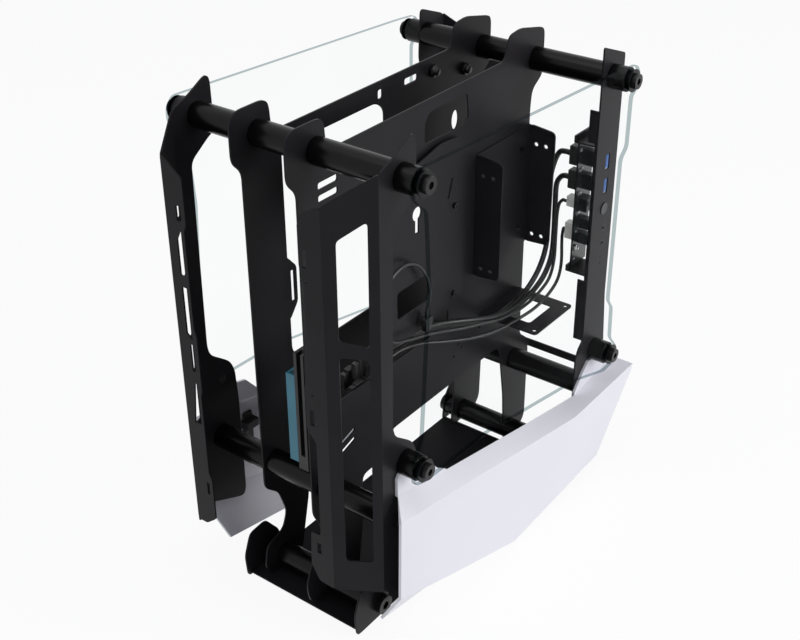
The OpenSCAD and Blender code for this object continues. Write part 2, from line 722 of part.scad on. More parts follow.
thick_a = [[62, 148, 318], [59, 148, 318], [56, 148, 318], [50, 148, 316], [44, 150, 304],
    [40, 151, 284], [40, 151, 250], [42, 148, 222], [42, 138, 202], [41, 122, 188],
    [41, 100, 181.5], [41, 78, 181], [40, 56, 184.5], [36, 34, 190], [29, 14, 194.5],
    [20, -3, 195.5], [12, -21, 192], [6, -40, 189], [3, -60, 188], [2, -76, 187],
    [2, -84, 187], [2, -88, 187], [2, -91, 187]];
thick_b = [[62, 148, 295], [59, 148, 295], [57, 148, 295], [52, 149, 292], [47, 151, 282],
    [47, 151, 260], [48, 150, 234], [49, 146, 212], [49, 135, 197], [48.5, 119, 188.5],
    [48, 100, 184], [48, 78, 184], [47, 54, 189], [43, 32, 196], [36, 12, 201],
    [26, -6, 202.5], [17, -24, 200], [11, -42, 198], [9.5, -60, 197], [9.5, -72, 197],
    [9.5, -78, 197], [9.5, -82, 197], [9.5, -85, 197]];
sound = [[62, 144, 273], [60, 144, 273], [58.5, 144, 273], [55, 144, 268], [53, 145, 256],
    [53, 145, 236], [55, 141, 212], [56, 132, 197], [55, 118, 189], [54, 102, 185],
    [53.5, 80, 185], [52, 56, 188], [48, 34, 193], [43, 12, 197], [38, -8, 202],
    [34.5, -30, 208], [33, -54, 214], [32, -74, 221], [32, -87, 235], [32, -92, 253],
    [32, -87, 270], [32, -74, 282], [32, -57, 285], [32, -41, 278], [32, -29, 263],
    [32, -24, 246], [32, -26, 233], [32, -28, 229], [32, -28, 226], [32, -28, 223]];
panel = [[62, 146, 244], [61, 146, 244], [60, 146, 244], [58, 148, 236], [57, 150, 226],
    [60, 146, 208], [62, 137, 195], [61, 122, 185], [59, 104, 179.5], [56.5, 84, 178],
    [55, 70, 178], [53, 54, 179], [49, 34, 181], [42.5, 12, 185], [34, -8, 189.5],
    [26, -24, 193], [18, -40, 193], [15, -56, 191], [15, -72, 188], [15.5, -84, 186],
    [15.5, -90, 186], [15.5, -94, 186], [15.5, -97, 186]];
module thick_lead_a() { color("#121212") lead(thick_a, thick_lead_d); }
module thick_lead_b() { color("#121212") lead(thick_b, thick_lead_d); }
module sound_lead() { color("#121212") lead(sound, thin_lead_d); }
module panel_lead() { color("#121212") lead(panel, thin_lead_d); }

// Plugs on the leads' free ends, which a main board's headers take
plug_l = 14;
function last(p) = p[len(p) - 1];
module lead_plug(at, w, h) {
    translate([at[0] - w / 2, at[1] - plug_l, at[2] - h / 2]) cube([w, plug_l, h]);
}
module lead_plugs() {
    color("#18181a") {
        for (p = [thick_a, thick_b]) lead_plug(last(p), thick_lead_d + 1, 18);
        lead_plug(last(panel), 5, 10);
        translate(last(sound) - [3, 5, 12]) cube([6, 10, 12]);
    }
}

// Card slot strip on the near cross tube, with its coloured edge cover
slot_y = mid_near[0];
slot_z = mid_near[1] + tube_r;
strip_x = -1;
cover_w = 9;
module slot_strip() {
    color("#141416") difference() {
        translate([strip_x, slot_y - 6, slot_z]) cube([10, 12, 112]);
        translate([strip_x + 3, slot_y - 7, slot_z + 14]) cube([4, 8, 100]);
    }
}
module slot_cover() {
    color("#3b7f92") {
        translate([strip_x - cover_w, slot_y - 6, slot_z + 6]) cube([cover_w, 2, 84]);
        translate([strip_x - cover_w, slot_y - 5, slot_z + 6]) cube([2, 11, 84]);
    }
}

// Spring catch that holds the left cover's upper edge
module cover_catch() {
    color("#1b1c1e") {
        translate([-cover_x + cover_t + 0.2, -112, 62]) cube([3, 10, 50]);
        for (z = [62, 98]) translate([-cover_x + cover_t + 0.2, -114, z])
            cube([9, 14, 8]);
    }
}

// Thumb screws on the upper beam of the left inner plate
module thumb_screws() {
    color("#2a2b2e") for (at = [[70, beam_z - 12], [118, beam_z - 24]])
        translate([left_inner_x + plate_t, at[0], at[1]]) rotate([0, 90, 0]) {
            cylinder(h = 4, d = 11);
            translate([0, 0, 4]) cylinder(h = 3, d = 7);
        }
}

near_left_plate();
near_right_plate();
left_inner_plate();
right_inner_plate();
far_right_column();
far_left_plate();
top_near_tube();
top_far_tube();
mid_near_tube();
mid_far_tube();
base_near_tube();
base_far_tube();
near_stub_spacers();
far_stub_spacers();
tie_rods();
end_collars();
end_screws();
base_screws();
base_tray();
rubber_feet();
right_cover();
left_cover();
right_glass();
left_glass();
fan_bracket();
support_frame();
drive_plate();
rear_crossbar();
bracket_screws();
board_pillars();
port_board();
port_blocks();
port_bracket();
power_button();
wide_port_a();
wide_port_b();
lead_headers();
thick_lead_a();
thick_lead_b();
sound_lead();
panel_lead();
lead_plugs();
slot_strip();
slot_cover();
cover_catch();
thumb_screws();
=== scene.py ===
"""Looks of an open-frame computer case: powder-coated plates, white lower covers,
side glass, a port board with its sockets, and the leads that run from it."""

import json
import math

import bpy
import numpy as np
from mathutils import Matrix, Vector


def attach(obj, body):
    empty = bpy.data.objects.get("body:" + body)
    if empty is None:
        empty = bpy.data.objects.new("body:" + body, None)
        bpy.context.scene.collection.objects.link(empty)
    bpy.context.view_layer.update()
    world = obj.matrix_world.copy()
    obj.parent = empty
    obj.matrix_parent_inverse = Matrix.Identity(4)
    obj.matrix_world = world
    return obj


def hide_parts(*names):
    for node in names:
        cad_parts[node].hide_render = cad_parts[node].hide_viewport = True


MM = 0.001
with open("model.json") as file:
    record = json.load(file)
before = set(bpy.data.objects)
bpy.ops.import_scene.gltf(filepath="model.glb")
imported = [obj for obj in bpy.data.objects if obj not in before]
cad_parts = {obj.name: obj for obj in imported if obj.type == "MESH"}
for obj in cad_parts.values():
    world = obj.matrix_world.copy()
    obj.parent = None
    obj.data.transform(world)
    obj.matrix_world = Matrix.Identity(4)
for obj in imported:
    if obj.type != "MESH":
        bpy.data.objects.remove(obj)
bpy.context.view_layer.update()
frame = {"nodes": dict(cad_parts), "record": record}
nodes = frame["nodes"]
slot_of = {part["node"]: part["material_slot"] for part in frame["record"]["subparts"]}

# Camera, from the photograph's perspective: its place in millimetres, its axes, the
# photograph's size, focal length and centre in pixels, and the sensor's width
CAMERA_AT = (564.4, -771.75, 765.45)
CAMERA_RIGHT = (0.79762, 0.60312, -0.00679)
CAMERA_DOWN = (0.30182, -0.40885, -0.86125)
CAMERA_FORWARD = (-0.52221, 0.68490, -0.50814)
PHOTO_SIZE = (800, 640)
PHOTO_FOCAL = 1270
PHOTO_CENTRE = (393.7, 314.34)
SENSOR = 36


def placed(name, data):
    """An object in the scene that holds the data."""
    made = bpy.data.objects.new(name, data)
    bpy.context.scene.collection.objects.link(made)
    return made


def make_camera():
    """The lens is the focal length in pixels as a share of the sensor's width, and the
    shift is the way from the picture's middle to the point that the lens looks at."""
    data = bpy.data.cameras.new("camera")
    data.sensor_width = SENSOR
    data.lens = PHOTO_FOCAL * SENSOR / PHOTO_SIZE[0]
    data.shift_x = (PHOTO_SIZE[0] / 2 - PHOTO_CENTRE[0]) / PHOTO_SIZE[0]
    data.shift_y = (PHOTO_CENTRE[1] - PHOTO_SIZE[1] / 2) / PHOTO_SIZE[0]
    data.clip_start = 0.05
    data.clip_end = 50
    camera = placed("camera", data)
    axes = Matrix((CAMERA_RIGHT, -Vector(CAMERA_DOWN), -Vector(CAMERA_FORWARD)))
    place = Matrix.Translation(Vector(CAMERA_AT) * MM)
    camera.matrix_world = place @ axes.transposed().to_4x4()
    bpy.context.scene.camera = camera


# Colours and shader nodes

def linear(code):
    """A hex sRGB colour as linear red, green, blue and a full alpha."""
    share = [int(code[i:i + 2], 16) / 255 for i in (1, 3, 5)]
    light = [c / 12.92 if c <= 0.04045 else ((c + 0.055) / 1.055) ** 2.4 for c in share]
    return (*light, 1)


def add(tree, kind, links=(), into=None, **settings):
    """Adds one node. A setting is a property of the node, or the name of an input with
    its words joined by underscores. A link is (input, the node or output that feeds
    it), and a node feeds by its first output. into is the input that this node feeds."""
    made = tree.nodes.new(kind)
    for name, value in settings.items():
        if hasattr(made, name):
            setattr(made, name, value)
        else:
            made.inputs[name.replace("_", " ")].default_value = value
    for name, source in links:
        out = source.outputs[0] if isinstance(source, bpy.types.Node) else source
        tree.links.new(out, made.inputs[name])
    if into:
        tree.links.new(made.outputs[0], into)
    return made


def empty_material(name):
    """A material without nodes, and its tree."""
    material = bpy.data.materials.new(name)
    material.use_nodes = True
    material.node_tree.nodes.clear()
    return material, material.node_tree


def new_material(name, roughness, **sockets):
    """A material with one Principled shader: the material, its tree, the shader, and
    the object's own coordinates, which its patterns read."""
    material, tree = empty_material(name)
    shader = add(tree, "ShaderNodeBsdfPrincipled", Roughness=roughness, **sockets)
    add(tree, "ShaderNodeOutputMaterial", [("Surface", shader)])
    return material, tree, shader, add(tree, "ShaderNodeTexCoord").outputs["Object"]


def powder_coat():
    """Polyester powder baked on steel: satin black with a fine orange peel, so that
    highlights are broad and a little grainy. The grit is drawn at 0.6 mm to show."""
    material, tree, shader, place = new_material("satin_black_powder_coat", 0.36,
                                                 Specular_IOR_Level=0.1)
    peel = add(tree, "ShaderNodeTexNoise", [("Vector", place)], Scale=1 / (0.6 * MM),
               Detail=3)
    cloud = add(tree, "ShaderNodeTexNoise", [("Vector", place)], Scale=1 / (45 * MM))
    add(tree, "ShaderNodeMixRGB", [("Fac", cloud)], shader.inputs["Base Color"],
        Color1=linear("#1a191b"), Color2=linear("#242225"))
    add(tree, "ShaderNodeMapRange", [("Value", cloud)], shader.inputs["Roughness"],
        To_Min=0.3, To_Max=0.44)
    add(tree, "ShaderNodeBump", [("Height", peel)], shader.inputs["Normal"],
        Strength=0.12, Distance=0.02 * MM)
    return material


def gloss_coat():
    """The same powder on the turned tubes, where it flows out to a glossier, deeper
    black."""
    material, tree, shader, place = new_material("gloss_black_powder_coat", 0.24,
                                                 Specular_IOR_Level=0.16)
    flow = add(tree, "ShaderNodeTexNoise", [("Vector", place)], Scale=1 / (20 * MM))
    add(tree, "ShaderNodeMixRGB", [("Fac", flow)], shader.inputs["Base Color"],
        Color1=linear("#040404"), Color2=linear("#0a0a0b"))
    add(tree, "ShaderNodeMapRange", [("Value", flow)], shader.inputs["Roughness"],
        To_Min=0.2, To_Max=0.3)
    return material


def black_oxide():
    """Hardened steel blackened in a hot salt bath: dark, smooth and slightly oily."""
    material, tree, shader, place = new_material("black_oxide_steel", 0.3,
                                                 Specular_IOR_Level=0.25)
    stain = add(tree, "ShaderNodeTexNoise", [("Vector", place)], Scale=1 / (3 * MM),
                Detail=3)
    grain = add(tree, "ShaderNodeTexNoise", [("Vector", place)], Scale=1 / (0.5 * MM))
    add(tree, "ShaderNodeMixRGB", [("Fac", stain)], shader.inputs["Base Color"],
        Color1=linear("#070708"), Color2=linear("#151517"))
    add(tree, "ShaderNodeBump", [("Height", grain)], shader.inputs["Normal"],
        Strength=0.3, Distance=0.02 * MM)
    return material


def drawn_rod():
    """Cold-drawn steel rod: bright grey, with faint lines along its length."""
    material, tree, shader, place = new_material("cold_drawn_steel", 0.3, Metallic=1.0)
    along = add(tree, "ShaderNodeMapping", [("Vector", place)], Scale=(40, 1500, 1500))
    lines = add(tree, "ShaderNodeTexNoise", [("Vector", along)], Scale=1.0)
    add(tree, "ShaderNodeMixRGB", [("Fac", lines)], shader.inputs["Base Color"],
        Color1=linear("#6d7074"), Color2=linear("#a3a6aa"))
    return material


def moulded_rubber():
    """Nitrile rubber feet: dull black with a dusty bloom."""
    material, tree, shader, place = new_material("nitrile_rubber", 0.8)
    bloom = add(tree, "ShaderNodeTexNoise", [("Vector", place)], Scale=1 / (4 * MM),
                Detail=3)
    grain = add(tree, "ShaderNodeTexNoise", [("Vector", place)], Scale=1 / (0.7 * MM))
    add(tree, "ShaderNodeMixRGB", [("Fac", bloom)], shader.inputs["Base Color"],
        Color1=linear("#121212"), Color2=linear("#1f1f1f"))
    add(tree, "ShaderNodeBump", [("Height", grain)], shader.inputs["Normal"],
        Strength=0.4, Distance=0.06 * MM)
    return material


def white_abs():
    """Injection-moulded ABS: cool white, with a fine spark-eroded grain of about
    0.7 mm, and hardly any cloudiness where the melt flowed."""
    material, tree, shader, place = new_material("white_moulded_abs", 0.4, IOR=1.54)
    flow = add(tree, "ShaderNodeTexNoise", [("Vector", place)], Scale=1 / (90 * MM),
               Detail=0)
    grain = add(tree, "ShaderNodeTexNoise", [("Vector", place)], Scale=1 / (0.7 * MM),
                Detail=3)
    add(tree, "ShaderNodeMixRGB", [("Fac", flow)], shader.inputs["Base Color"],
        Color1=linear("#e4e3ea"), Color2=linear("#eae9f0"))
    add(tree, "ShaderNodeBump", [("Height", grain)], shader.inputs["Normal"],
        Strength=0.3, Distance=0.03 * MM)
    return material


# How steeply the glass's mirror share grows towards a graze
MIRROR_POWER = 9


def float_glass():
    """Tempered float glass: clear across the pane's thickness, which lies along X, and
    grey-green at its ground edge. Its mirror share is half of the facing value to the
    MIRROR_POWER: hardly anything face on, and a fair part of the light at a graze."""
    material, tree = empty_material("tempered_float_glass")
    place = add(tree, "ShaderNodeTexCoord").outputs["Object"]
    haze = add(tree, "ShaderNodeTexNoise", [("Vector", place)], Scale=1 / (90 * MM))
    tint = add(tree, "ShaderNodeMixRGB", [("Fac", haze)], Color1=linear("#fdfefe"),
               Color2=linear("#ffffff"))
    normal = add(tree, "ShaderNodeNewGeometry").outputs["Normal"]
    across = add(tree, "ShaderNodeSeparateXYZ", [("Vector", normal)])
    faced = add(tree, "ShaderNodeMath", [(0, across)], operation="ABSOLUTE")
    cast = add(tree, "ShaderNodeMixRGB", [("Fac", faced), ("Color2", tint)],
               Color1=linear("#b4c0c2"))
    clear = add(tree, "ShaderNodeBsdfTransparent", [("Color", cast)])
    shine = add(tree, "ShaderNodeBsdfGlossy", Color=linear("#c8ccd0"), Roughness=0.03)
    facing = add(tree, "ShaderNodeLayerWeight", Blend=0.5).outputs["Facing"]
    slant = add(tree, "ShaderNodeMath", [(0, facing)], operation="POWER")
    slant.inputs[1].default_value = MIRROR_POWER
    share = add(tree, "ShaderNodeMapRange", [("Value", slant)], To_Min=0.0, To_Max=0.5)
    pane = add(tree, "ShaderNodeMixShader", [("Fac", share), (1, clear), (2, shine)])
    add(tree, "ShaderNodeOutputMaterial", [("Surface", pane)])
    return material


def turned_brass():
    """Free-cutting brass for the board seats, a little stained."""
    material, tree, shader, place = new_material("turned_brass", 0.28, Metallic=1.0)
    stain = add(tree, "ShaderNodeTexNoise", [("Vector", place)], Scale=1 / (1.2 * MM))
    add(tree, "ShaderNodeMixRGB", [("Fac", stain)], shader.inputs["Base Color"],
        Color1=linear("#a88038"), Color2=linear("#cfa95c"))
    return material


def glass_epoxy():
    """Glass-epoxy board under black solder mask: the weave, drawn at 1.2 mm, shows
    faintly, and copper tracks lift the mask a little."""
    material, tree, shader, place = new_material("black_glass_epoxy", 0.3,
                                                 Coat_Weight=0.3)
    weave = add(tree, "ShaderNodeTexVoronoi", [("Vector", place)],
                Scale=1 / (1.2 * MM), distance="CHEBYCHEV")
    add(tree, "ShaderNodeMixRGB", [("Fac", weave)], shader.inputs["Base Color"],
        Color1=linear("#0c0e0d"), Color2=linear("#1d2220"))
    add(tree, "ShaderNodeBump", [("Height", weave)], shader.inputs["Normal"],
        Strength=0.4, Distance=0.03 * MM)
    return material


def nickel_shell(name, dark, light):
    """Stamped steel of the socket shells, plated: smooth, with fine rolling marks."""
    material, tree, shader, place = new_material(name, 0.28, Metallic=1.0)
    marks = add(tree, "ShaderNodeTexNoise", [("Vector", place)], Scale=1 / (0.8 * MM),
                Detail=3)
    add(tree, "ShaderNodeMixRGB", [("Fac", marks)], shader.inputs["Base Color"],
        Color1=linear(dark), Color2=linear(light))
    add(tree, "ShaderNodeBump", [("Height", marks)], shader.inputs["Normal"],
        Strength=0.3, Distance=0.01 * MM)
    return material


def moulded(name, dark, light, roughness, grain_mm=0.5):
    """A moulded plastic, shaded between two close colours over a fine grain."""
    material, tree, shader, place = new_material(name, roughness)
    cloud = add(tree, "ShaderNodeTexNoise", [("Vector", place)], Scale=1 / (25 * MM),
                Detail=0)
    grain = add(tree, "ShaderNodeTexNoise", [("Vector", place)],
                Scale=1 / (grain_mm * MM))
    add(tree, "ShaderNodeMixRGB", [("Fac", cloud)], shader.inputs["Base Color"],
        Color1=linear(dark), Color2=linear(light))
    add(tree, "ShaderNodeBump", [("Height", grain)], shader.inputs["Normal"],
        Strength=0.3, Distance=0.02 * MM)
    return material


def lead_jacket():
    """Soft black PVC jacket: satin, with shallow waves where it was bent."""
    material, tree, shader, place = new_material("black_pvc_jacket", 0.34)
    wave = add(tree, "ShaderNodeTexNoise", [("Vector", place)], Scale=1 / (6 * MM))
    add(tree, "ShaderNodeMixRGB", [("Fac", wave)], shader.inputs["Base Color"],
        Color1=linear("#0b0b0c"), Color2=linear("#18181a"))
    add(tree, "ShaderNodeBump", [("Height", wave)], shader.inputs["Normal"],
        Strength=0.3, Distance=0.25 * MM)
    return material


finishes = {
    "powder_coat": powder_coat(),
    "dark_screw": black_oxide(),
    "rod_steel": drawn_rod(),
    "rubber": moulded_rubber(),
    "white_cover": white_abs(),
    "clear_glass": float_glass(),
    "brass": turned_brass(),
    "board": glass_epoxy(),
    "port_shell": nickel_shell("dark_nickel_plate", "#2a2c2f", "#515458"),
    "button": moulded("satin_black_polycarbonate", "#151517", "#202023", 0.3),
    "blue_plastic": moulded("blue_nylon", "#0f4a8c", "#1859a0", 0.3),
    "white_plastic": moulded("white_nylon", "#efeee8", "#f6f5f0", 0.35),
    "lead_jacket": lead_jacket(),
    "slot_plastic": moulded("black_glass_filled_nylon", "#0e0e0f", "#171718", 0.5),
    "teal_plastic": moulded("teal_polypropylene", "#1f6a80", "#2d8299", 0.33),
}
tube_coat = gloss_coat()
bright_pins = nickel_shell("bright_tin_plate", "#b4b7ba", "#d6d8da")

# Nodes that take the tubes' gloss, though they share the plates' slot
TUBE_NODES = ("top_near_tube", "top_far_tube", "mid_near_tube", "mid_far_tube",
              "base_near_tube", "base_far_tube", "near_stub_spacers", "far_stub_spacers",
              "end_collars")

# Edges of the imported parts: the width of the rounding, in millimetres, by slot
EDGE_ROUND = {
    "powder_coat": 0.35,
    "dark_screw": 0.3,
    "rubber": 0.5,
    "white_cover": 0.8,
    "clear_glass": 0.5,
    "port_shell": 0.25,
    "white_plastic": 0.4,
    "slot_plastic": 0.4,
    "teal_plastic": 0.4,
    "button": 0.4,
    "brass": 0.15,
}
# The bend of an edge that is rounded, and the weld's reach in metres
CREASE = math.radians(28)
WELD_REACH = 1e-6


def round_edges(piece, width_mm):
    """Welds the loose triangles and bevels every edge that bends by more than CREASE."""
    mesh = piece.data
    if "custom_normal" in mesh.attributes:
        mesh.attributes.remove(mesh.attributes["custom_normal"])
    mesh.shade_smooth()
    weld = piece.modifiers.new("weld", "WELD")
    weld.merge_threshold = WELD_REACH
    edge = piece.modifiers.new("edge", "BEVEL")
    edge.width = width_mm * MM
    edge.segments = 2
    edge.limit_method = "ANGLE"
    edge.angle_limit = CREASE
    edge.harden_normals = True
    piece.modifiers.new("faces", "WEIGHTED_NORMAL").keep_sharp = True


def finish_cad_nodes():
    """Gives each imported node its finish, and its edges their rounding."""
    for name, piece in nodes.items():
        slot = slot_of[name]
        piece.data.materials.clear()
        piece.data.materials.append(tube_coat if name in TUBE_NODES else finishes[slot])
        if slot in EDGE_ROUND:
            round_edges(piece, EDGE_ROUND[slot])


# Shapes worked out as whole arrays

def round_angles(count):
    """The angles of that many even steps round a circle, from 0."""
    return np.arange(count) * 2 * math.pi / count


def grid_faces(rows, columns, row_loop=False):
    """Quads between neighbours on a grid of rows by columns. Each row is closed to a
    loop, and the last row joins the first where row_loop is set."""
    i, j = np.meshgrid(np.arange(rows - (not row_loop)), np.arange(columns),
                       indexing="ij")
    nexti, nextj = (i + 1) % rows, (j + 1) % columns
    corners = [i * columns + j, i * columns + nextj, nexti * columns + nextj,
               nexti * columns + j]
    return np.stack([c.ravel() for c in corners], axis=1).tolist()


def capped_faces(rows, columns):
    """The grid's faces, with one flat face over its first row and one over its last."""
    last = (rows - 1) * columns
    return grid_faces(rows, columns) + [list(range(columns))[::-1],
                                        list(range(last, last + columns))]


def make_piece(name, points_mm, faces, material):
    """A mesh of its own from points in millimetres, riding on the case."""
    mesh = bpy.data.meshes.new(name)
    mesh.from_pydata((np.asarray(points_mm, float) * MM).tolist(), [], faces)
    mesh.validate()
    mesh.shade_smooth()
    mesh.materials.append(material)
    piece = placed(name, mesh)
    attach(piece, "case")
    return piece


def joined(shapes):
    """Several (points, faces) as one, each one's face numbers moved past the last."""
    points, faces, start = [], [], 0
    for some, theirs in shapes:
        points.append(some)
        faces += [[start + k for k in face] for face in theirs]
        start += len(some)
    return np.concatenate(points), faces


def soft_block(low, high, radius, turns=24, rows=12):
    """A box with round edges. On a grid of the angles round and up a ball, each point is
    the ball's own, of that radius, pushed out to the box's corner on its side."""
    low, high = np.array(low, float), np.array(high, float)
    up = np.linspace(-math.pi / 2, math.pi / 2, rows)[:, None]
    # Half a step round keeps the points clear of the planes where the push changes side
    about = (np.arange(turns)[None, :] + 0.5) * 2 * math.pi / turns
    ball = np.stack([np.cos(up) * np.cos(about), np.cos(up) * np.sin(about),
                     np.sin(up) + 0 * about], axis=2).reshape(-1, 3)
    push = np.where(ball >= 0, 1.0, -1.0) * ((high - low) / 2 - radius)
    return (low + high) / 2 + push + ball * radius, capped_faces(rows, turns)


# How near to its widest a turned profile carries teeth, in millimetres
TOOTHED = 0.1


def turned(profile, centre, axis, turns, teeth, depth):
    """A turned shape. profile is a list of (distance along the axis, radius), carried
    round the axis; its first and last rings are closed by flat faces. Teeth are a wave
    of that many crests round it and that depth, and only where the profile is widest:
    there the radius is less by depth * (1 + cos(teeth * angle)) / 2."""
    profile = np.array(profile, float)
    axis = np.array(axis, float) / np.linalg.norm(axis)
    side = np.cross(axis, [0, 0, 1] if abs(axis[2]) < 0.9 else [1, 0, 0])
    side /= np.linalg.norm(side)
    other = np.cross(axis, side)
    about = round_angles(turns)
    ring = np.cos(about)[:, None] * side + np.sin(about)[:, None] * other
    wide = profile[:, None, 1:] > profile[:, 1].max() - TOOTHED
    wave = (0.5 + 0.5 * np.cos(about * teeth))[None, :, None]
    radius = profile[:, None, 1:] - wide * depth * wave
    points = (np.array(centre, float) + profile[:, None, :1] * axis
              + radius * ring[None]).reshape(-1, 3)
    return points, capped_faces(len(profile), turns)


def smooth_route(route, steps=8):
    """One smooth curve through the given points: between two neighbours it is the
    cubic whose slopes at both ends are half the way between the points on each side."""
    p = np.array(route, float)
    before = np.concatenate([p[:1], p[:-2]])
    after = np.concatenate([p[2:], p[-1:]])
    s = (np.arange(steps) / steps)[:, None, None]
    a, b, c, d = before, p[:-1], p[1:], after
    curve = 0.5 * (2 * b + (c - a) * s + (2 * a - 5 * b + 4 * c - d) * s ** 2
                   + (3 * b - a - 3 * c + d) * s ** 3)
    curve = curve.transpose(1, 0, 2).reshape(-1, 3)
    return np.concatenate([curve, p[-1:]])


def tube(path, radius, sides=16):
    """A round tube: at each point of the path, a ring square to it, turned as little as
    can be from the ring before."""
    way = np.gradient(path, axis=0)
    way /= np.linalg.norm(way, axis=1)[:, None]
    side = np.zeros_like(way)
    start = np.cross(way[0], [0, 0, 1] if abs(way[0][2]) < 0.9 else [1, 0, 0])
    side[0] = start / np.linalg.norm(start)
    for k in range(1, len(way)):
        flat = side[k - 1] - way[k] * (side[k - 1] @ way[k])
        side[k] = flat / np.linalg.norm(flat)
    other = np.cross(way, side)
    about = round_angles(sides)[None, :, None]
    ring = np.cos(about) * side[:, None] + np.sin(about) * other[:, None]
    points = (path[:, None] + ring * radius).reshape(-1, 3)
    return points, capped_faces(len(path), sides)


# Leads: each one's diameter, and the same listed points as the imported model's, in
# millimetres
THICK_LEAD = 5
THIN_LEAD = 3
ROUTES = {
    "thick_lead_a": (THICK_LEAD, [
        (62, 148, 318), (59, 148, 318), (56, 148, 318), (50, 148, 316), (44, 150, 304),
        (40, 151, 284), (40, 151, 250), (42, 148, 222), (42, 138, 202), (41, 122, 188),
        (41, 100, 181.5), (41, 78, 181), (40, 56, 184.5), (36, 34, 190), (29, 14, 194.5),
        (20, -3, 195.5), (12, -21, 192), (6, -40, 189), (3, -60, 188), (2, -76, 187),
        (2, -84, 187), (2, -88, 187), (2, -91, 187)]),
    "thick_lead_b": (THICK_LEAD, [
        (62, 148, 295), (59, 148, 295), (57, 148, 295), (52, 149, 292), (47, 151, 282),
        (47, 151, 260), (48, 150, 234), (49, 146, 212), (49, 135, 197),
        (48.5, 119, 188.5), (48, 100, 184), (48, 78, 184), (47, 54, 189), (43, 32, 196),
        (36, 12, 201), (26, -6, 202.5), (17, -24, 200), (11, -42, 198), (9.5, -60, 197),
        (9.5, -72, 197), (9.5, -78, 197), (9.5, -82, 197), (9.5, -85, 197)]),
    "sound_lead": (THIN_LEAD, [
        (62, 144, 273), (60, 144, 273), (58.5, 144, 273), (55, 144, 268), (53, 145, 256),
        (53, 145, 236), (55, 141, 212), (56, 132, 197), (55, 118, 189), (54, 102, 185),
        (53.5, 80, 185), (52, 56, 188), (48, 34, 193), (43, 12, 197), (38, -8, 202),
        (34.5, -30, 208), (33, -54, 214), (32, -74, 221), (32, -87, 235), (32, -92, 253),
        (32, -87, 270), (32, -74, 282), (32, -57, 285), (32, -41, 278), (32, -29, 263),
        (32, -24, 246), (32, -26, 233), (32, -28, 229), (32, -28, 226), (32, -28, 223)]),
    "panel_lead": (THIN_LEAD, [
        (62, 146, 244), (61, 146, 244), (60, 146, 244), (58, 148, 236), (57, 150, 226),
        (60, 146, 208), (62, 137, 195), (61, 122, 185), (59, 104, 179.5),
        (56.5, 84, 178), (55, 70, 178), (53, 54, 179), (49, 34, 181), (42.5, 12, 185),
        (34, -8, 189.5), (26, -24, 193), (18, -40, 193), (15, -56, 191), (15, -72, 188),
        (15.5, -84, 186), (15.5, -90, 186), (15.5, -94, 186), (15.5, -97, 186)]),
}


# A plug's breadth, length and height in millimetres, for each lead
PLUG_SIZES = {
    "thick_lead_a": (6, 14, 18),
    "thick_lead_b": (6, 14, 18),
    "sound_lead": (6, 12, 10),
    "panel_lead": (5, 14, 10),
}
# Where a plug's body ends and its nose starts, as shares of the plug's length, and the
# nose's size across as a share of the body's
BODY_END = 0.6
NOSE_START = 0.5
NOSE_SHARE = 0.8
# Ribs on a plug: how many, the first one's distance from the lead's end, the spacing,
# and how far each reaches past the body across, along and upwards, in millimetres
RIBS = 3
RIB_START = 2.2
RIB_STEP = 1.8
RIB_REACH = (0.25, 0.5, 0.25)


def lead_plug(name, end, size, down=False):
    """The plug on a lead's free end: a ribbed body with a narrower nose, which takes
    the header's pins. It points along -Y, or down from a lead that ends going down."""
    end = np.array(end, float)
    wide, long, high = size
    half = np.array([wide, 0, high]) / 2
    nose = half * NOSE_SHARE
    shapes = [soft_block(end - half - (0, long * BODY_END, 0), end + half, 0.7),
              soft_block(end - nose - (0, long, 0),
                         end + nose - (0, long * NOSE_START, 0), 0.5)]
    for k in range(RIBS):
        at = end - (0, RIB_START + RIB_STEP * k, 0)
        shapes.append(soft_block(at - half - RIB_REACH, at + half + RIB_REACH, 0.3))
    points, faces = joined(shapes)
    if down:
        way = points - end
        points = end + np.stack([way[:, 0], way[:, 2], way[:, 1]], axis=1)
        faces = [face[::-1] for face in faces]
    piece = make_piece(name, points, faces, finishes["slot_plastic"])
    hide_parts("lead_plugs")
    return piece


def make_leads():
    """Each lead as a tube along its route, with the plug on its free end."""
    for name, (wide, route) in ROUTES.items():
        path = smooth_route(route)
        points, faces = tube(path, wide / 2)
        lead = make_piece(name + "_jacket", points, faces, finishes["lead_jacket"])
        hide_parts(name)
        plug = lead_plug(name + "_plug", route[-1], PLUG_SIZES[name],
                         down=name == "sound_lead")


# Port board, in millimetres: its faces, the column's face, and the sockets' places
BOARD_BACK = 73
BOARD_FACE = 74.6
COLUMN_FACE = 96.5
PORT_Y = 150
PORT_HEIGHTS = (318, 295)
JACK_Y = 152
JACK_HEIGHTS = (253, 238)
# Soft blocks at the board: the lower and the upper corner of each at height 0, and the
# steps between ridges and between pins, in millimetres
TONGUE_BOX = ((83, PORT_Y - 2.4, -6.1), (96.1, PORT_Y + 2.4, 6.1))
PLUG_BOX = ((62, 143, -9), (BOARD_BACK, 153, 9))
RIDGE_BOX = ((63.4, 142.6, -7), (64.4, 143.4, 7))
RIDGE_STEP = 2.2
HEADER_RIB_BOX = ((62.6, 143.5, -0.4), (70, 144.2, 0.4))
PIN_BOX = ((70.5, 143.6, -0.3), (BOARD_BACK, 144.3, 0.3))
PIN_STEP = 2.0
# Lower and upper corner of each white header, and the rows of pins' margins at its ends
WHITE_BOXES = (((62, 144, 268), (72.4, 152, 278)), ((62, 144, 236), (72.4, 152, 252)))
PIN_MARGINS = (1.5, 1)


def block_at(box, radius, height, along=0.0):
    """A soft block between the box's corners, raised to a height and moved along X."""
    low, high = np.array(box, float) + (along, 0, height)
    return soft_block(low, high, radius)


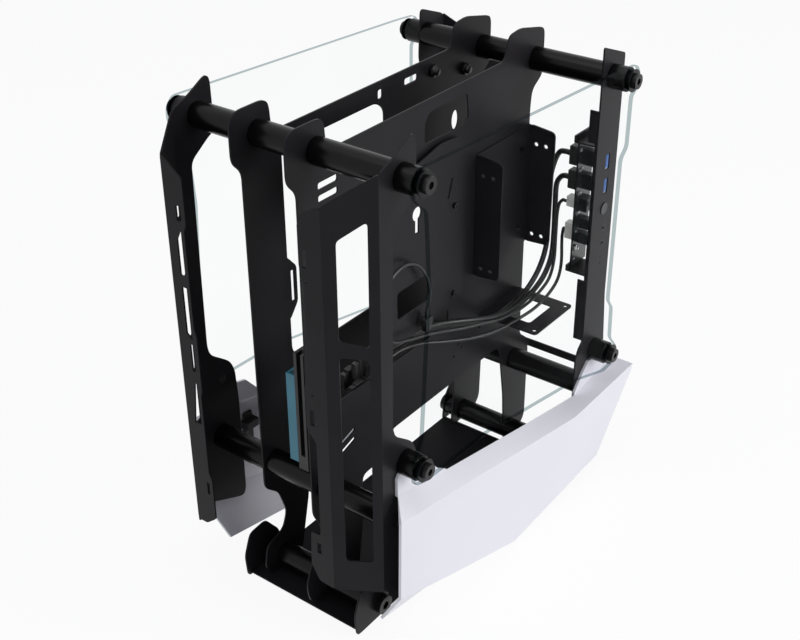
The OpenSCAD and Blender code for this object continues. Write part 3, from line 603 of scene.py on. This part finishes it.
def make_port_tongues():
    """Each wide socket's blue tongue, in the middle of the shell's mouth."""
    for name, height in zip(("wide_port_a", "wide_port_b"), PORT_HEIGHTS):
        points, faces = block_at(TONGUE_BOX, 0.4, height)
        piece = make_piece(name + "_tongue", points, faces, finishes["blue_plastic"])
        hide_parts(name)


def make_headers():
    """Plugs and headers on the board's back: two black overmoulded plugs, ribbed where
    fingers hold them, and two white headers that are ribbed at their pins."""
    black, white, pins = [], [], []
    for height in PORT_HEIGHTS:
        black.append(block_at(PLUG_BOX, 1.2, height))
        for k in range(3):
            black.append(block_at(RIDGE_BOX, 0.3, height, RIDGE_STEP * k))
    for low, high in WHITE_BOXES:
        white.append(soft_block(low, high, 0.6))
        for height in np.arange(low[2] + PIN_MARGINS[0], high[2] - PIN_MARGINS[1],
                                PIN_STEP):
            white.append(block_at(HEADER_RIB_BOX, 0.25, height))
            pins.append(block_at(PIN_BOX, 0.15, height))
    for name, shapes, finish, slot in (
            ("lead_plugs_at_board", black, finishes["slot_plastic"], "slot_plastic"),
            ("white_headers", white, finishes["white_plastic"], "white_plastic"),
            ("header_pins", pins, bright_pins, "port_shell")):
        points, faces = joined(shapes)
        piece = make_piece(name, points, faces, finish)
        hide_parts("lead_headers")


# Small parts on the board's front: near side, height, breadth, tallness, and how far
# each stands off the board
SMALL_PARTS = [
    (140, 306, 3, 2, 1.4), (144, 307, 2, 2, 1.0), (141, 283, 3, 3, 1.2),
    (145, 282, 1.6, 3, 0.9), (140, 264, 4, 3, 1.6), (141, 246, 2, 2, 1.0),
    (140, 228, 4, 5, 1.5), (146, 226, 3, 3, 1.0), (141, 218, 2, 2, 0.8),
    (140, 325, 2.4, 3, 1.2),
]


def make_small_parts():
    """Chips and capacitors: soft blocks seated on the board's front face."""
    shapes = []
    for near, low, wide, tall, off in SMALL_PARTS:
        shapes.append(soft_block((BOARD_FACE, near, low),
                                 (BOARD_FACE + off, near + wide, low + tall),
                                 0.2, turns=12, rows=8))
    points, faces = joined(shapes)
    make_piece("board_small_parts", points, faces, bright_pins)


# Lip of a jack hole, in millimetres: its radii, its back and front, and its rounding
LIP_INNER = 1.8
LIP_OUTER = 2.7
LIP_BACK = 94.6
LIP_FRONT = 96.8
LIP_ROUND = 0.2
LIP_SIDES = 32


def make_jack_lips():
    """A moulded lip in each round jack hole: a flat band whose outer and inner edges
    are rounded by the profile's short steps."""
    about = round_angles(LIP_SIDES)
    band = np.array([(LIP_BACK, LIP_INNER), (COLUMN_FACE, LIP_INNER),
                     (LIP_FRONT, LIP_INNER + LIP_ROUND),
                     (LIP_FRONT, LIP_OUTER - LIP_ROUND), (COLUMN_FACE, LIP_OUTER),
                     (LIP_BACK, LIP_OUTER)])
    along, radius = band[:, :1], band[:, 1:]
    shapes = []
    for height in JACK_HEIGHTS:
        ring = np.stack([np.broadcast_to(along, (len(band), LIP_SIDES)),
                         JACK_Y + radius * np.cos(about),
                         height + radius * np.sin(about)], axis=2)
        shapes.append((ring.reshape(-1, 3),
                       grid_faces(len(band), LIP_SIDES, row_loop=True)))
    points, faces = joined(shapes)
    make_piece("jack_lips", points, [face[::-1] for face in faces], finishes["button"])


# Thumb screws on the left inner plate's upper beam: place of each one's seat
THUMB_SCREWS = [(-34.5, 70, 396), (-34.5, 118, 384)]
# Their heads' profile, as distance from the seat and radius, and the knurl's crests
# and depth
THUMB_PROFILE = [(0, 4.6), (0.3, 5.2), (0.8, 5.5), (3.2, 5.5), (3.7, 5.2), (4, 4.4),
                 (4.4, 3.6), (6.6, 3.4), (7, 3.0)]
KNURL_CRESTS = 24
KNURL_DEPTH = 0.35


def make_thumb_screws():
    """Knurled heads with a turned waist, four points to each crest of the knurl."""
    shapes = [turned(THUMB_PROFILE, seat, (1, 0, 0), 4 * KNURL_CRESTS, KNURL_CRESTS,
                     KNURL_DEPTH) for seat in THUMB_SCREWS]
    points, faces = joined(shapes)
    piece = make_piece("knurled_thumb_screws", points, faces, finishes["dark_screw"])
    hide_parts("thumb_screws")


# Floor, lamps and the white round the case

def seen_directly(tree):
    """1 for a ray from the eye, or one that metal or glass mirrors or lets through."""
    way = add(tree, "ShaderNodeLightPath")
    eye = add(tree, "ShaderNodeMath", [(0, way.outputs["Is Camera Ray"]),
              (1, way.outputs["Is Glossy Ray"])], operation="ADD")
    return add(tree, "ShaderNodeMath", [(0, eye),
               (1, way.outputs["Is Transmission Ray"])], operation="ADD", use_clamp=True)


# How much of the floor's own shading the eye sees, and the floor's radius in
# millimetres
SHADOW_SHARE = 0.08
FLOOR_RADIUS = 6000


def make_floor():
    """A round white floor that shows the case's shadow faintly."""
    material, tree = empty_material("studio_floor")
    plain = add(tree, "ShaderNodeBsdfDiffuse", Color=(1, 1, 1, 1))
    white = add(tree, "ShaderNodeEmission", Color=(1, 1, 1, 1), Strength=1.0)
    share = add(tree, "ShaderNodeMath", [(0, seen_directly(tree))],
                operation="MULTIPLY")
    share.inputs[1].default_value = 1 - SHADOW_SHARE
    mix = add(tree, "ShaderNodeMixShader", [("Fac", share), (1, plain), (2, white)])
    add(tree, "ShaderNodeOutputMaterial", [("Surface", mix)])
    about = round_angles(64)
    rim = np.stack([np.cos(about), np.sin(about), 0 * about], axis=1) * FLOOR_RADIUS
    mesh = bpy.data.meshes.new("studio_floor")
    mesh.from_pydata((rim * MM).tolist(), [], [list(range(64))])
    mesh.materials.append(material)
    floor = placed("studio_floor", mesh)


def make_world():
    """Even light from all round, and plain white where the eye sees past the floor."""
    world = bpy.data.worlds.new("studio_world")
    bpy.context.scene.world = world
    world.use_nodes = True
    tree = world.node_tree
    tree.nodes.clear()
    plain = add(tree, "ShaderNodeBackground", Color=linear("#f4f6ff"), Strength=0.3)
    white = add(tree, "ShaderNodeBackground", Color=(1, 1, 1, 1), Strength=1.0)
    mix = add(tree, "ShaderNodeMixShader", [("Fac", seen_directly(tree)), (1, plain),
              (2, white)])
    add(tree, "ShaderNodeOutputWorld", [("Surface", mix)])


# Lamps: name, place, width and height in metres, and power in watts. All aim at one
# point in the case.
LAMPS = [
    ("right_softbox", (1.7, 0.5, 0.9), 1.2, 1.2, 20),
    ("top_softbox", (-0.1, -0.3, 2.0), 1.4, 1.4, 10),
    ("near_fill", (0.2, -2.2, 0.9), 1.4, 1.0, 2.5),
]
LAMP_AIM = (0, 0, 0.2)


def make_lamps():
    """Rectangular softboxes, turned towards the aim."""
    for name, place, wide, high, watts in LAMPS:
        data = bpy.data.lights.new(name, "AREA")
        data.shape = "RECTANGLE"
        data.size = wide
        data.size_y = high
        data.energy = watts
        lamp = placed(name, data)
        lamp.location = place
        lamp.rotation_mode = "QUATERNION"
        way = Vector(LAMP_AIM) - Vector(place)
        lamp.rotation_quaternion = way.to_track_quat("-Z", "Y")


make_camera()
make_leads()
make_port_tongues()
make_headers()
make_small_parts()
make_jack_lips()
make_thumb_screws()
finish_cad_nodes()
make_floor()
make_world()
make_lamps()
bpy.context.scene.view_settings.view_transform = "Standard"
